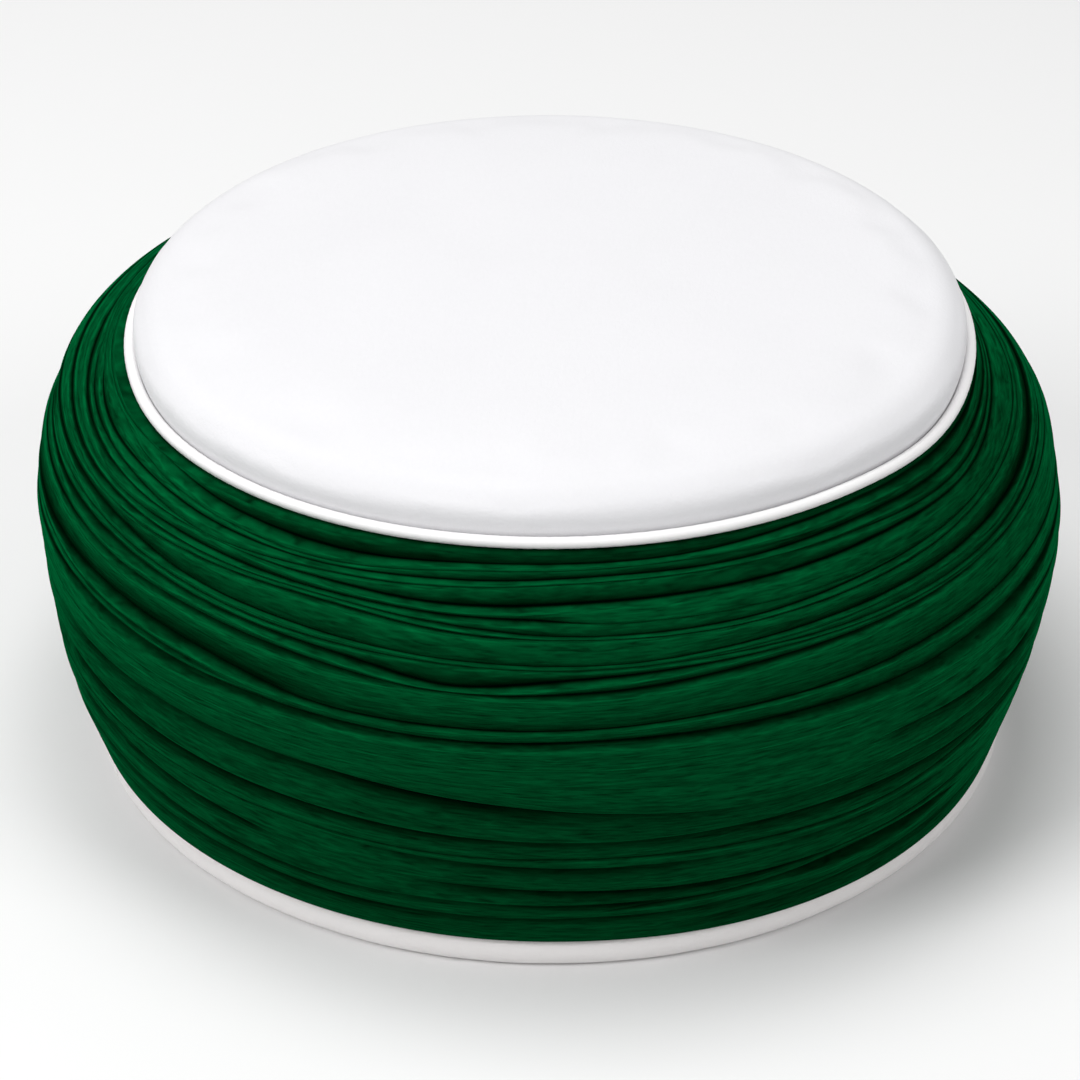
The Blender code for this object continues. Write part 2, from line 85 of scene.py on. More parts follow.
# Folds from the top down: name, step as a share of the fold step, first and last angle in
# degrees, and three rows at FOLD_ANGLES: the place of its edge, in thousandths of the sash's side
# profile, how dark its crease is, in tenths, and how far up the pleat above it the shade reaches,
# in tenths. One number stands for a row that is the same all round. A last angle over 180 goes on
# past the middle of the back. At a step over 0 the lower pleat lies on the upper one, and at a
# step under 0 the upper pleat hangs over the lower one.
FOLDS = [Fold(*row) for row in (
    ("top", 0.87, -180, 180, (3, 15, 42, 52, 41, 37, 40, 40, 58, 46, 20),
     (10, 12, 28, 30, 20, 14, 16, 18, 20, 14, 12), (10, 14, 34, 40, 28, 20, 24, 26, 28, 16, 12)),
    ("top_split", 0.47, -100, -12, (12, 32, 58, 67, 48, 44, 47, 60, 78, 60, 32),
     (6, 7, 7, 8, 8, 8, 8, 8, 8, 8, 8), 8),
    ("upper", 0.80, -180, 180, (29, 54, 77, 81, 76, 69, 74, 85, 97, 80, 45),
     (9, 9, 10, 14, 18, 20, 20, 18, 14, 12, 12), (8, 8, 10, 16, 20, 24, 24, 22, 16, 12, 10)),
    ("crossing", 0.60, -180, 180, (40, 72, 100, 93, 84, 76, 80, 101, 119, 94, 58),
     (14, 18, 12, 14, 10, 7, 7, 9, 12, 14, 10), (8, 10, 10, 14, 10, 8, 8, 10, 14, 16, 10)),
    ("second", 0.80, -180, 180, (54, 91, 104, 116, 130, 125, 128, 130, 135, 107, 74),
     (24, 24, 16, 12, 12, 12, 12, 12, 14, 20, 16), (12, 12, 10, 10, 12, 14, 14, 12, 12, 14, 12)),
    ("second_left", 0.80, -180, 8, (75, 110, 133, 137, 150, 158, 164, 166, 162, 148, 90),
     (3, 4, 14, 18, 16, 12, 8, 6, 6, 8, 10), (8, 8, 10, 14, 18, 12, 8, 6, 6, 8, 10)),
    ("third", 0.80, -180, 180, (95, 135, 143, 146, 168, 187, 190, 178, 167, 154, 110),
     (24, 26, 14, 11, 12, 12, 12, 12, 16, 20, 18), (14, 14, 10, 8, 10, 10, 10, 10, 12, 16, 14)),
    ("fourth", 0.80, -180, 180, (122, 149, 158, 163, 183, 191, 197, 192, 178, 164, 135),
     (2, 3, 9, 14, 13, 12, 12, 10, 7, 6, 8), (6, 6, 8, 10, 10, 10, 10, 8, 8, 8, 10)),
    ("fifth", 0.93, -180, 180, (157, 187, 218, 230, 242, 245, 238, 228, 219, 199, 165),
     (24, 20, 14, 12, 10, 10, 11, 13, 15, 20, 16), (14, 12, 12, 12, 12, 12, 14, 18, 20, 18, 14)),
    ("fifth_right", 0.53, 12, 110, (178, 200, 224, 236, 247, 249, 243, 236, 228, 212, 182),
     (8, 8, 8, 8, 8, 8, 8, 7, 7, 8, 8), 8),
    ("sixth", 0.80, -180, 180, (200, 213, 232, 244, 251, 253, 250, 258, 249, 221, 195),
     (4, 5, 6, 8, 7, 7, 9, 16, 24, 24, 12), (6, 6, 8, 8, 8, 8, 8, 14, 20, 18, 10)),
    ("dip", 0.87, -180, 60, (220, 244, 253, 269, 300, 280, 262, 262, 257, 236, 215),
     (24, 20, 12, 14, 15, 12, 10, 7, 6, 6, 10), (14, 12, 8, 12, 18, 14, 8, 6, 6, 6, 10)),
    ("dip_edge", 0.93, -180, 180, (261, 274, 283, 297, 309, 309, 292, 279, 269, 249, 250),
     (10, 11, 12, 13, 13, 13, 12, 11, 9, 8, 10), (8, 8, 8, 8, 8, 10, 12, 10, 7, 7, 8)),
    ("middle_pocket", 0.93, -180, 180, (350, 356, 368, 388, 391, 384, 375, 370, 364, 361, 349),
     (20, 18, 17, 15, 10, 9, 9, 9, 8, 8, 10), (14, 12, 16, 14, 8, 10, 12, 12, 10, 8, 8)),
    ("middle_inner", 0.67, -85, -30, (366, 377, 392, 398, 402, 394, 386, 384, 384, 390, 376),
     (6, 10, 12, 10, 8, 8, 8, 8, 8, 8, 8), (10, 14, 14, 10, 8, 8, 8, 8, 8, 8, 8)),
    ("middle", 1.33, -180, 180, (403, 415, 423, 424, 425, 421, 424, 437, 437, 425, 412),
     (20, 20, 16, 13, 13, 13, 13, 15, 17, 18, 14), (12, 12, 10, 8, 8, 10, 12, 12, 14, 16, 12)),
    ("wide_left", 0.33, -95, -32, (466, 472, 474, 475, 476, 476, 476, 478, 482, 496, 470),
     (10, 9, 7, 6, 6, 6, 6, 6, 6, 6, 6), (18, 20, 16, 10, 10, 10, 10, 10, 10, 10, 10)),
    ("wide_right", 1.00, 56, 110, (488, 492, 496, 497, 497, 497, 497, 499, 494, 500, 498),
     (8, 8, 8, 8, 8, 8, 8, 8, 10, 16, 12), 8),
    ("right_hook", -1.07, 33, 190, (514, 514, 515, 516, 518, 526, 540, 554, 571, 556, 522),
     (10, 10, 10, 10, 10, 10, 8, 10, 15, 14, 10), (8, 8, 8, 8, 8, 8, 8, 8, 10, 12, 10)),
    ("slant", -0.80, -180, 180, (546, 540, 538, 546, 570, 596, 620, 626, 636, 645, 592),
     (12, 12, 10, 12, 14, 10, 6, 6, 10, 14, 12), (12, 12, 10, 10, 14, 16, 14, 10, 12, 14, 12)),
    ("lower", -1.13, -180, 180, (625, 636, 651, 658, 673, 677, 678, 687, 698, 705, 660),
     (16, 16, 14, 13, 12, 9, 11, 13, 12, 12, 12), (14, 14, 10, 8, 8, 8, 8, 10, 12, 14, 12)),
    ("lower_edge", 0.60, -180, 180, (697, 707, 709, 715, 726, 724, 732, 742, 720, 724, 713),
     (10, 9, 6, 6, 6, 5, 6, 6, 8, 10, 10), (8, 8, 6, 6, 5, 5, 5, 6, 8, 8, 8)),
    ("cross_right", -0.73, -26, 56, (706, 713, 716, 726, 738, 754, 757, 766, 762, 765, 745),
     (10, 10, 10, 10, 12, 13, 7, 11, 10, 10, 10), (10, 10, 10, 10, 10, 12, 8, 12, 10, 10, 10)),
    ("pocket_left", -1.07, 130, 332, (722, 730, 773, 789, 794, 796, 798, 802, 796, 794, 780),
     (12, 14, 14, 12, 10, 10, 10, 10, 10, 10, 10), (12, 14, 14, 12, 10, 10, 10, 10, 10, 10, 10)),
    ("low_right", -1.07, -18, 64, (785, 793, 803, 808, 812, 826, 842, 843, 825, 822, 808),
     (10, 10, 10, 10, 12, 14, 15, 15, 12, 10, 10), (10, 10, 10, 8, 8, 9, 12, 14, 12, 10, 10)),
    ("low_left", -0.73, 100, 380, (812, 827, 866, 877, 872, 873, 872, 860, 842, 838, 842),
     (12, 12, 12, 10, 8, 12, 14, 10, 10, 10, 10), (12, 12, 12, 10, 8, 10, 10, 10, 10, 10, 10)),
    ("low_hollow", 1.20, 4, 56, (880, 884, 888, 894, 896, 893, 880, 890, 868, 862, 876),
     (10, 10, 10, 10, 10, 12, 18, 20, 16, 10, 10), (10, 10, 10, 10, 10, 10, 12, 12, 12, 10, 10)),
    ("foot", -0.60, 120, 394, (910, 910, 906, 924, 921, 916, 914, 910, 906, 904, 906),
     (10, 10, 12, 13, 10, 11, 10, 8, 8, 8, 8), (10, 10, 12, 14, 12, 8, 8, 8, 8, 8, 8)),
    ("foot_right", -0.67, 10, 170, (955, 955, 955, 960, 962, 962, 960, 952, 940, 940, 948),
     10, 10),
)]

# The fold at which the winding changes from the upper to the lower length of cloth
PARTING_FOLD = 15

# Broad hollows between the folds: angle and its reach in degrees, place and its reach in
# thousandths of the sash's side profile, and depth as a share of the hollow depth
HOLLOWS = (
    (0.0, 400.0, 18.0, 14.0, 0.6),
    (-52.0, 14.0, 411.0, 9.0, 1.0),
    (-73.0, 6.0, 655.0, 26.0, 1.6),
    (68.0, 9.0, 482.0, 12.0, 1.0),
    (3.0, 7.0, 764.0, 9.0, 0.8),
    (36.0, 9.0, 868.0, 18.0, 1.2),
    (26.0, 20.0, 96.0, 9.0, 0.9),
    (32.0, 16.0, 975.0, 12.0, 0.8),
    (-122.0, 34.0, 70.0, 130.0, 1.9),
)

# Broad patches of the sash that lie in the shade of the folds round them: angle and its reach in
# degrees, place and its reach in thousandths of the side profile, and share of the light they lose
PATCHES = (
    (10.0, 50.0, 450.0, 500.0, 0.16),
    (58.0, 28.0, 110.0, 140.0, 0.42),
    (-86.0, 5.0, 190.0, 60.0, 0.65),
)

# Course of the crown's edge and piping, and of the sash's lower edge, at each of FOLD_ANGLES, in
# tenths of a millimetre: how far the edge lies outwards, how far it sags, how far the sash hangs
EDGE_COURSE = {
    "outwards": (0, 9, 7, 4, 1, 0, 0, 2, 5, -6, -3),
    "sag": (2, 9, 8, 5, 2, 0, 0, 2, 9, 0, 0),
    "hang": (2, 0, 0, 0, 0, 1, 7, 13, 12, 4, 0),
}

# Across one pleat: angles of its round upper edge in degrees, places down to the next crease, and
# the rows of the slit: share of its width, share of its depth, and light
EDGE_TURNS = (12.0, 30.0, 50.0, 70.0, 90.0)
PLEAT_STEPS = (0.18, 0.38, 0.56, 0.72, 0.86, 1.0)
SLIT_ROWS = ((0.45, 1.0, 0.0), (0.90, 0.9, 0.1))

# Place of the sash's first row, as a share of its side profile, under the piping
SASH_START = 0.016

# Folds waver with two sines: waves in a turn, and size as a share of the side profile; and a fold
# fades over some degrees at each end of its stretch
WAVERS = ((7.0, 0.00080), (12.0, 0.00056))
WAVER_SHIFT = 1.7
FADE_DEGREES = 12.0

# Pleats, in metres: least width, how far they lie under the smooth surface, limit of their swell,
# and least width of a slit
LEAST_PLEAT = 0.00030
PLEAT_SINK = 0.00010
SWELL_LIMIT = 0.0006
LEAST_SLIT = 0.00002

# Pleats, as shares of their width: swell, and the most that a round edge and a slit may take
PLEAT_SWELL = 0.045
MOST_EDGE = 0.30
MOST_SLIT = 0.26

# At both sides of the hat the folds lie flatter and their creases take more painted shade: where
# that starts and over how far it grows, in degrees, and the share of a fold's height that goes
SIDE_START, SIDE_SPAN = 52.0, 22.0
SIDE_FLATNESS = 0.90

# Light: most that a shade takes, share taken at a fold's crease, under an edge that hangs over,
# and over the lower edge of a pleat that hangs over; gain on a round edge, and loss at its foot
MOST_SHADE = 0.96
CREASE_SHADE, UNDER_SHADE, LAP_SHADE = 0.80, 0.70, 0.30
EDGE_GAIN, EDGE_LOSS = 0.35, 1.1

# The first pleat lies in the crown's shade, and most of all in front: its light at the back, how
# much less it is in front, and the darkest angle and the shade's reach in degrees. The sash also
# loses light from its middle down to its lower edge.
CROWN_SHADE = (0.98, 0.63, 3.0, 40.0)
FOOT_SHADE = 0.30

# Crown, in metres: room left for its stuffing, most that the stuffing moves it, the foot of its
# side as a way in or out from the side and a height, and its ceiling as a share of its seat's
# radius and a height. The lowest rows of its round edge are sewn fast, like all that is under them.
CROWN_ROOM = 0.0008
PAD_LIMIT = 0.0005
CROWN_FOOT = ((0.0, 0.0020), (0.0, 0.0003), (-0.0003, 0.0))
CROWN_CEILING = ((1.0, 0.0), (0.6, 0.0040), (0.3, 0.0053), (0.0, 0.0057))
SEWN_ROWS = 5

# Stuffing: settings of the cloth that swells, and the frames that it swells for
STUFFING = {
    "quality": 6,
    "mass": 0.2,
    "use_pressure": True,
    "uniform_pressure_force": 4.0,
    "tension_stiffness": 20.0,
    "compression_stiffness": 20.0,
    "vertex_group_mass": "seam",
}
STUFFING_FRAMES = 20

# Piping: stitches round it, share of its thickness that each pulls in, and how much thicker its
# inner half is, so that it meets the crown
STITCHES = 180.0
STITCH_PULL = 0.025
INNER_FILL = 1.26

# Rolled hem: waves in a turn, their shift and their share, and their size as a share of the hem
HEM_WAVES = ((9.0, 0.6, 0.4), (23.0, 0.0, 0.3), (41.0, 1.3, 0.3))
HEM_WAVE_SIZE = 0.012

# Share of the side profile over which the course of each edge of the sash fades, and, in metres,
# how far a length's inner rows reach past its outer ones and how far out its foot lies on the hem
COURSE_REACH = 0.10
LINING_REACH = 0.004
FOOT_REACH = 0.0027

# White cloths: roughness, fineness of the nap in cells a metre, strength of its bump, and sheen
WHITE_CLOTHS = {
    "crown_cloth": (0.85, 1200.0, 0.30, 0.25),
    "piping_satin": (0.45, 900.0, 0.10, 0.1),
    "wall_felt": (0.95, 1200.0, 0.4, 0.3),
    "rim_cloth": (0.9, 1100.0, 0.35, 0.35),
}

# Camera: its distance from the middle of the crown's plane in metres and its angle over it, how
# far it turns off that middle, all in radians, and its focal length in pixels of a 1080 frame
CAMERA_DISTANCE, CAMERA_RISE = 0.81, 0.492
CAMERA_TURNS = (("Y", 0.0027), ("X", -0.0555), ("Z", 0.0049))
FOCAL_PIXELS = 3851.94

# Soft lights: name, place, size in metres and power in watts; and the strength of the pale room
LIGHTS = (
    ("top_light", (-0.20, 0.0, 1.5), 1.0, 13.8),
    ("left_light", (-1.2, -0.9, 1.25), 0.7, 11.8),
    ("right_light", (1.2, -0.9, 1.25), 0.7, 6.0),
)
ROOM_STRENGTH = 0.30

# Crepe: noises as how fine they are round the hat and across the winding, in cells a metre, their
# roughness and distortion, share in the shade of the cloth, and depth of their bump in metres
CREPE = (
    (22.0, 330.0, 0.5, 0.0, 0.15, 0.00020),
    (110.0, 1400.0, 0.5, 0.0, 0.50, 0.00018),
    (210.0, 3200.0, 0.6, 0.5, 1.00, 0.00014),
)


def metres(name, description, default):
    """Declares a length that a user may change."""
    return bpy.props.FloatProperty(
        name=name, description=description, default=default, unit="LENGTH"
    )


def colour(name, description, default):
    """Declares a colour that a user may change."""
    return bpy.props.FloatVectorProperty(
        name=name, description=description, default=default, subtype="COLOR", size=3
    )


class CapSizes(bpy.types.PropertyGroup):
    """Sizes of the cap under and over the sash."""

    head_diameter: metres("Head diameter", "Inside diameter of the cap wall", 0.1834)
    wall_height: metres("Wall height", "Height of the cap wall", 0.0804)
    wall_thickness: metres("Wall thickness", "Thickness of the felt wall", 0.0020)
    wall_turn_in: metres("Wall turn-in", "How far the wall's top turns in under the crown", 0.00734)
    clearance: metres("Clearance", "Gap between neighbouring pieces", 0.0003)
    rim_thickness: metres("Rim thickness", "Thickness of the rolled hem", 0.0090)
    rim_offset: metres(
        "Rim offset", "How far the middle of the rolled hem lies outside the wall", 0.0012
    )
    rim_pressed: metres(
        "Rim pressed", "How much the rolled hem is pressed flat where it stands", 0.00045
    )
    crown_band: metres("Crown band", "Height of the crown's upright side under the piping", 0.0037)
    crown_rise: metres(
        "Crown rise", "Height of the crown's middle over the plane of the piping", 0.0140
    )
    crown_dome: metres(
        "Crown dome", "How much the crown falls from its middle to its round edge", 0.0020
    )
    crown_edge_radius: metres("Crown edge radius", "Radius of the crown's round edge", 0.0080)
    crown_tuck_angle: bpy.props.FloatProperty(
        name="Crown tuck angle", description="How far the crown's edge turns under, in degrees",
        default=27.0,
    )
    piping_thickness: metres("Piping thickness", "Thickness of the cord round the crown", 0.0023)
    piping_angle: bpy.props.FloatProperty(
        name="Piping angle",
        description="How far below the middle of the crown's edge the cord lies, in degrees",
        default=21.0,
    )


class SashSizes(bpy.types.PropertyGroup):
    """Sizes of the wound sash and its folds."""

    thickness: metres("Sash thickness", "Thickness of the winding where it is widest", 0.0150)
    hang: metres("Hang", "How far the sash hangs over the top of the rolled hem", 0.0012)
    fold_step: metres("Fold step", "Height of a usual fold over the cloth above it", 0.0015)
    fold_round: metres("Fold round", "Width of a fold's round upper edge", 0.00040)
    fold_room: metres("Fold room", "Width of a pleat below which its folds grow shallow", 0.0022)
    fold_reach: metres(
        "Fold reach", "How far above a crease the cloth starts to fall into it", 0.0036
    )
    crease_width: metres("Crease width", "Width of the slit under a usual fold", 0.00060)
    crease_depth: metres("Crease depth", "Depth of the slit under a usual fold", 0.0006)
    hollow_depth: metres("Hollow depth", "Depth of a usual broad hollow between folds", 0.0010)


class ClothColours(bpy.types.PropertyGroup):
    """Colours of the cloths."""

    crown: colour("Crown", "Brushed white cloth of the crown", (0.825, 0.822, 0.842))
    piping: colour("Piping", "White satin of the piping", (0.94, 0.93, 0.93))
    sash: colour("Sash", "Green crepe of the sash", (0.0003, 0.112, 0.0300))
    sash_deep: colour(
        "Sash in the creases", "Green crepe where little light reaches it", (0.0001, 0.003, 0.0008)
    )
    wall: colour("Wall", "White felt of the wall", (0.80, 0.79, 0.78))
    rim: colour("Rim", "Soft white cloth of the rolled hem", (0.98, 0.95, 0.945))
    floor: colour("Floor", "Pale floor", (0.90, 0.90, 0.90))


def through(knots, values, places):
    """Runs a smooth curve through values at rising knots and reads it at places.

    Each span is a cubic from its start to its end, with slopes that weigh the rises of the spans
    on both sides of each knot by the other span's length.
    """
    knots = np.asarray(knots, float)
    values = np.asarray(values, float)
    steps = np.diff(knots)
    rises = np.diff(values, axis=-1) / steps
    inner = (rises[..., :-1] * steps[1:] + rises[..., 1:] * steps[:-1]) / (steps[:-1] + steps[1:])
    slopes = np.concatenate([rises[..., :1], inner, rises[..., -1:]], axis=-1)
    place = np.clip(places, knots[0], knots[-1])
    span = np.clip(np.searchsorted(knots, place, side="right") - 1, 0, len(steps) - 1)
    t = (place - knots[span]) / steps[span]
    start = values[..., span]
    rise = values[..., span + 1] - start
    lead = slopes[..., span] * steps[span]
    trail = slopes[..., span + 1] * steps[span]
    bend = lead + trail - 2.0 * rise
    return start + t * (lead + t * (rise - lead - bend + t * bend))


def round_ring(rows, degrees):
    """Reads rows given at FOLD_ANGLES at any angles from -180 to 180 degrees.

    The stations are repeated one turn before and after, so that the curve closes at the back.
    """
    rows = np.asarray(rows, float)
    stations = np.array(FOLD_ANGLES, float)
    knots = np.concatenate([stations[-3:] - 360.0, stations, stations[:3] + 360.0])
    values = np.concatenate([rows[:, -3:], rows, rows[:, :3]], axis=1)
    return through(knots, values, degrees)


def eased(share):
    """Rounds off a share of 0 to 1 at both ends: three of its squares less two of its cubes."""
    return share * share * (3.0 - 2.0 * share)


def turned_degrees(angles):
    """Gives angles in radians as degrees from -180 to 180."""
    return (np.degrees(angles) + 180.0) % 360.0 - 180.0


def wall_levels(cap):
    """Gives the foot and the top of the cap wall: it stands on the rolled hem."""
    foot = cap.rim_thickness - cap.rim_pressed + cap.clearance
    return foot, foot + cap.wall_height


def wall_line(cap, out):
    """Gives the wall's outline, foot to top: radius less the lean, moved outwards by out."""
    foot = wall_levels(cap)[0]
    table = np.array(WALL_PROFILE)
    radii = cap.head_diameter / 2.0 - table[:, 1] * cap.wall_turn_in + out
    return np.stack([radii, foot + table[:, 0] * cap.wall_height], axis=-1)


def crown_edge(cap):
    """Gives the middle of the crown's round edge, the radius of its side and its plane."""
    side = wall_line(cap, cap.wall_thickness + cap.clearance)[-1, 0]
    radius = side - cap.crown_edge_radius * math.cos(math.radians(cap.crown_tuck_angle))
    plane = wall_levels(cap)[1] + cap.clearance + cap.crown_band
    height = plane + cap.crown_rise - cap.crown_dome - cap.crown_edge_radius
    return radius, height, side, plane


def piping_centre(cap):
    """Gives the middle of the piping, which lies against the crown's round edge."""
    radius, height, _, _ = crown_edge(cap)
    reach = cap.crown_edge_radius + cap.piping_thickness / 2.0 + cap.clearance
    angle = math.radians(cap.piping_angle)
    return radius + reach * math.cos(angle), height - reach * math.sin(angle)


def rim_centre(cap):
    """Gives the middle of the rolled hem, which carries the wall."""
    radius = cap.head_diameter / 2.0 + cap.wall_thickness + cap.rim_offset
    return radius, cap.rim_thickness / 2.0 - cap.rim_pressed


def sash_profile(cap, sash):
    """Gives the sash's side profile: places, heights, and radii at -X and at +X; and its length.

    A radius is the wall's outside at that height plus a share of the sash's thickness, and a place
    is the share of the profile's length run so far.
    """
    foot = wall_levels(cap)[0]
    plane = crown_edge(cap)[3]
    table = np.array(SASH_PROFILE)
    heights = plane - table[:, 0] * (plane - foot + sash.hang)
    wall = wall_line(cap, cap.wall_thickness + cap.clearance)
    seats = np.interp(heights, wall[:, 1], wall[:, 0])
    left = seats + table[:, 1] * sash.thickness
    right = seats + table[:, 2] * sash.thickness
    runs = np.hypot(np.diff(heights), np.diff((left + right) / 2.0))
    lengths = np.concatenate([[0.0], np.cumsum(runs)])
    return lengths / lengths[-1], heights, left, right, lengths[-1]


def sash_surface(cap, sash, places, angles):
    """Gives radius and height of the smooth sash: the radius leans from its -X to its +X value
    with half of one plus the sine of the angle."""
    knots, heights, left, right, _ = sash_profile(cap, sash)
    at_left = through(knots, left, places)
    at_right = through(knots, right, places)
    lean = (1.0 + np.sin(angles)) / 2.0
    return at_left + (at_right - at_left) * lean, through(knots, heights, places)


def fold_lines(cap, sash, angles):
    """Gives every fold's upper edge and its strength at each angle, in order from the top down.

    A fold's strength is its step, smaller where its pleat or the one above is narrow, and fading
    at the ends of its stretch.
    """
    degrees = turned_degrees(angles)
    length = sash_profile(cap, sash)[4]
    number = np.arange(len(FOLDS))[:, None]
    order = number * LEAST_PLEAT / length
    lines = round_ring([fold.edge for fold in FOLDS], degrees) / 1000.0
    for waves, size in WAVERS:
        lines = lines + size * np.sin((angles + number * WAVER_SHIFT) * waves)
    lines = np.maximum.accumulate(lines - order, axis=0) + order
    lines = np.maximum(lines, SASH_START + sash.fold_round / length + order)
    edges = np.concatenate([np.zeros((1, len(angles))), lines, np.ones((1, len(angles)))])
    widths = np.diff(edges, axis=0) * length
    room = np.minimum(1.0, np.minimum(widths[:-1], widths[1:]) / sash.fold_room) ** 0.6
    steps = np.array([fold.step for fold in FOLDS])[:, None]
    first = np.array([fold.first for fold in FOLDS], float)[:, None]
    last = np.array([fold.last for fold in FOLDS], float)[:, None]
    shown = np.where(last - first >= 360.0, 1.0, np.zeros_like(lines))
    for turned in (degrees, degrees + 360.0):
        start = np.clip((turned - first) / FADE_DEGREES, 0.0, 1.0)
        end = np.clip((last - turned) / FADE_DEGREES, 0.0, 1.0)
        shown = np.maximum(shown, start * end)
    return lines, steps * room * eased(shown)


def bells(rows, places, angles):
    """Adds up bells, such as the broad hollows and the patches in the shade.

    Each is a bell over the angle times a bell over the place, times its share.
    """
    degrees = turned_degrees(angles)
    total = np.zeros(np.broadcast(places, degrees).shape)
    for angle, reach, place, spread, share in rows:
        across = np.exp(-(((degrees - angle) / reach) ** 2))
        along = np.exp(-(((places * 1000.0 - place) / spread) ** 2))
        total = total + across * along * share
    return total


def edge_course(name, angles):
    """Gives how far an edge departs from its plain circle, in metres."""
    return round_ring([EDGE_COURSE[name]], turned_degrees(angles))[0] * 0.0001


def fold_shades(angles):
    """Gives how dark the crease of each fold, and of the lower edge, is and how far it reaches."""
    count = len(FOLD_ANGLES)
    dark = [np.broadcast_to(row, count) for row in [fold.dark for fold in FOLDS] + [10]]
    reach = [np.broadcast_to(row, count) for row in [fold.reach for fold in FOLDS] + [10]]
    degrees = turned_degrees(angles)
    return round_ring(dark, degrees) / 10.0, round_ring(reach, degrees) / 10.0


def pleat_rows(cap, sash, angles, first, last):
    """Gives places, heights and light of the rows of the pleats from fold first up to fold last.

    A pleat starts half a step under the sash's surface, rises round a quarter ellipse to half a
    step over it, settles back, swells a little over its width, falls by half the next fold's step
    with the square of the nearness to it, and ends in a slit. A pleat under one that hangs over it
    starts low and rises with the same square, and one that hangs over rises to its lower edge and
    turns in. Steps are smaller and slits wider at the sides of the hat. Light is 1 on the cloth,
    more on the round edge and less at its foot, less towards and under an edge that stands out
    over it, and 0 at the bottom of a slit; then the crown, the foot and the patches take theirs.
    """
    length = sash_profile(cap, sash)[4]
    lines, strength = fold_lines(cap, sash, angles)
    degrees = turned_degrees(angles)
    row = np.ones((1, len(angles)))
    edges = np.concatenate([row * SASH_START, lines, row])
    dark, reach = fold_shades(angles)
    deepness = np.clip(0.3 + 0.7 * dark[:-1], 0.0, 1.5)
    side = eased(np.clip((np.abs(degrees) - SIDE_START) / SIDE_SPAN, 0.0, 1.0))
    whole = np.concatenate([row * 0.0, np.abs(strength), row * 0.0])
    force = np.concatenate([row, deepness, row]) * whole * (1.0 - SIDE_FLATNESS * side)
    crest = -PLEAT_SINK * (1.0 + side)
    places, heights, light = [], [], []
    for pleat in range(first, last):
        above, below = dark[pleat - 1], dark[min(pleat, len(FOLDS))]
        start, end = edges[pleat], edges[pleat + 1]
        width = (end - start) * length
        hangs = 1.0 if pleat > 0 and FOLDS[pleat - 1].step < 0.0 else 0.0
        covers = 1.0 if pleat < len(FOLDS) and FOLDS[pleat].step < 0.0 else 0.0
        here = force[pleat] * sash.fold_step
        there = force[pleat + 1] * sash.fold_step
        valley = np.minimum(below, 1.8)
        round_edge = np.minimum(sash.fold_round * (1.0 + side), MOST_EDGE * width)
        slit = sash.crease_width * valley * (1.0 + 0.6 * side)
        slit = np.minimum(slit, (MOST_SLIT + 0.06 * side) * width)
        slit = slit * np.minimum(1.0, whole[pleat + 1] * 1.4) + LEAST_SLIT
        drop = sash.crease_depth * force[pleat + 1] * valley
        strong = np.minimum(1.0, whole[pleat + 1] * 1.5)
        lip = np.minimum(1.0, whole[pleat] * 1.5)
        shaded = UNDER_SHADE * np.minimum(1.0, force[pleat] * 1.5) * above
        under = hangs * np.minimum(MOST_SHADE, shaded)
        dim = EDGE_LOSS * np.clip(0.10 + 0.15 * (above - 1.0) + 0.45 * side * above, 0.0, 0.9)
        for turn in np.radians(EDGE_TURNS):
            places.append(start + round_edge * (1.0 - np.cos(turn)) / length)
            heights.append(crest + here * ((1.0 - hangs) * np.sin(turn) - 0.5))
            lit = 1.0 + lip * (EDGE_GAIN * np.sin(turn) ** 6 - dim * (1.0 - np.sin(turn)))
            light.append(lit * (1.0 - hangs) + hangs * (1.0 - under))
        run = width - round_edge - slit
        rise = np.minimum(run, sash.fold_reach * reach[pleat - 1])
        fall = np.minimum(run, sash.fold_reach * reach[min(pleat, len(FOLDS))])
        wander = np.sin(angles * 3.0 + pleat * 2.4) * np.cos(angles * 5.0 + pleat * 1.1)
        shade = strong * (1.0 + 0.30 * wander) * below
        bend = 1.3 / np.clip(below * (1.0 + 0.3 * side), 0.8, 2.8)
        wave = np.sin(angles * 4.0 + pleat * 2.1) * np.sin(angles * 9.0 + pleat * 1.3)
        bulge = np.minimum(PLEAT_SWELL * run * (0.7 + 0.6 * wave), SWELL_LIMIT)
        for step in PLEAT_STEPS:
            near = np.clip(1.0 - run * (1.0 - step) / fall, 0.0, 1.0)
            far = np.clip(1.0 - run * step / rise, 0.0, 1.0)
            places.append(start + (round_edge + run * step) / length)
            swell = bulge * 4.0 * step * (1.0 - step)
            settle = (1.0 - hangs) * np.exp(-run * step / sash.fold_reach) - hangs * far ** 2
            lap = (covers - 0.5) * near ** 2 - covers * 0.5 * near ** 8
            heights.append(crest + swell + 0.5 * here * settle + there * lap)
            deep = (1.0 - covers) * np.minimum(MOST_SHADE, CREASE_SHADE * shade) * near ** bend
            deep = deep + covers * LAP_SHADE * near ** 4
            gloom = (1.0 - np.minimum(0.30, 0.20 * shade) * step) * (1.0 - under * far ** 1.3)
            light.append(gloom * (1.0 - deep))
        closed = np.minimum(1.0, strong * 1.6) * np.minimum(1.0, 1.25 * below)
        for across, down, bright in SLIT_ROWS:
            places.append(end - slit * (1.0 - across) / length)
            heights.append(crest - 0.5 * there - drop * down)
            light.append(1.0 - (1.0 - bright) * closed)
    places, light = np.array(places), np.array(light)
    if first == 0:
        far_light, less, angle, spread = CROWN_SHADE
        cover = far_light - less * np.exp(-(((degrees - angle) / spread) ** 2))
        light[: len(light) // (last - first)] *= cover
    light = light * (1.0 - FOOT_SHADE * np.clip((places - 0.50) / 0.50, 0.0, 1.0))
    light = light * (1.0 - bells(PATCHES, places, angles))
    return places, np.array(heights), light


